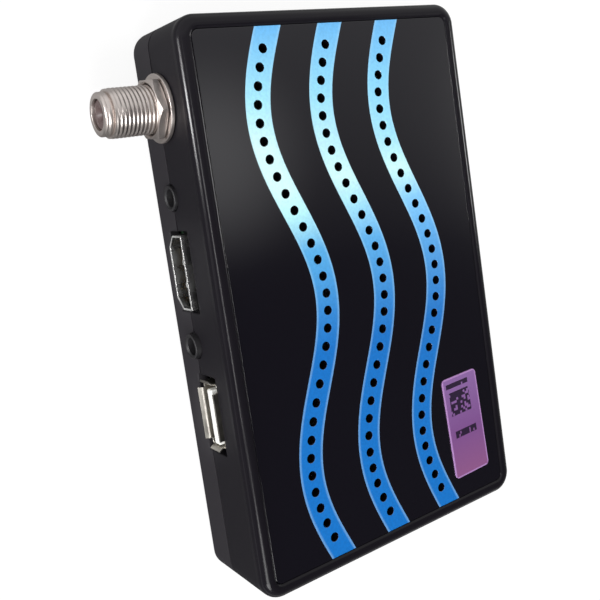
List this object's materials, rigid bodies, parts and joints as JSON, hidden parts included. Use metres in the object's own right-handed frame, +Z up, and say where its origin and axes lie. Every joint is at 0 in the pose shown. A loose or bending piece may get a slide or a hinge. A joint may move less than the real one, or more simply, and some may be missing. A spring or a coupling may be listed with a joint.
{
  "type": "satellite tv receiver",
  "caption": "Compact satellite receiver box with a threaded antenna socket, video, data, power and AV sockets and a wavy perforated gloss top.",
  "frame": {"origin": "middle of the whole object's footprint, antenna socket included, on the surface that the feet stand on", "axes": "+X along the case's long side, +Y out of the connector side, +Z up through the perforated top"},
  "size_m": [0.1124, 0.0808, 0.0221],
  "materials": {
    "black_shell": "satin moulded ABS",
    "gloss_panel": "polished black with printed blue waves",
    "sticker": "purple printed sticker",
    "smoked_lens": "smoked infrared window",
    "rubber": "matt",
    "steel": "zinc plated",
    "socket_steel": "nickel plated sheet",
    "nickel": "nickel plated brass",
    "insulator": "moulded insulator",
    "gold": "gold plated",
    "board": "solder-masked glass epoxy",
    "black_resin": "moulded",
    "white_resin": "moulded",
    "tin_plate": "tin plated",
    "aluminium": "extruded",
    "ferrite": "sintered",
    "capacitor_sleeve": "shrunk sleeve",
    "clear_resin": "clear epoxy"
  },
  "bodies": {
    "receiver": {"lower_shell": "black_shell", "upper_shell": "black_shell", "top_panel": "gloss_panel", "panel_label": "sticker", "ir_window": "smoked_lens", "case_screw_1": "steel", "case_screw_2": "steel", "case_screw_3": "steel", "case_screw_4": "steel", "rubber_foot_1": "rubber", "rubber_foot_2": "rubber", "rubber_foot_3": "rubber", "rubber_foot_4": "rubber", "main_board": "board", "board_screw_1": "steel", "board_screw_2": "steel", "board_screw_3": "steel", "main_chip": "black_resin", "heat_sink": "aluminium", "memory_chip": "black_resin", "flash_chip": "black_resin", "lnb_regulator": "black_resin", "clock_crystal": "tin_plate", "power_coil_1": "ferrite", "power_coil_2": "ferrite", "capacitor_1": "capacitor_sleeve", "capacitor_2": "capacitor_sleeve", "capacitor_3": "capacitor_sleeve", "capacitor_4": "capacitor_sleeve", "ir_receiver": "black_resin", "status_led": "clear_resin", "tuner_can": "tin_plate", "tuner_lid": "tin_plate", "tuner_chip": "black_resin", "antenna_socket": "nickel", "socket_insulator": "insulator", "socket_contact": "gold", "video_socket_shell": "socket_steel", "video_socket_insert": "black_resin", "data_socket_shell": "socket_steel", "data_socket_insert": "white_resin", "data_contact_1": "gold", "data_contact_2": "gold", "data_contact_3": "gold", "data_contact_4": "gold", "power_inlet": "black_resin", "power_pin": "nickel", "av_jack": "black_resin"},
    "washer": {"lock_washer": "nickel"},
    "nut": {"hex_nut": "nickel"}
  },
  "joints": [
    {"name": "washer_slide", "type": "slide", "parent": "receiver", "child": "washer", "axis": [0, 1, 0], "range_m": [0, 0.00794]},
    {"name": "nut_turn", "type": "hinge", "parent": "washer", "child": "nut", "pos_m": [0.0406, 0.02778, 0.01025], "axis": [0, 1, 0], "range_deg": [0, 3600]}
  ],
  "couplings": [
    {"joint": "nut_turn", "follows": "washer_slide", "rad_per_m": 7913.3}
  ]
}
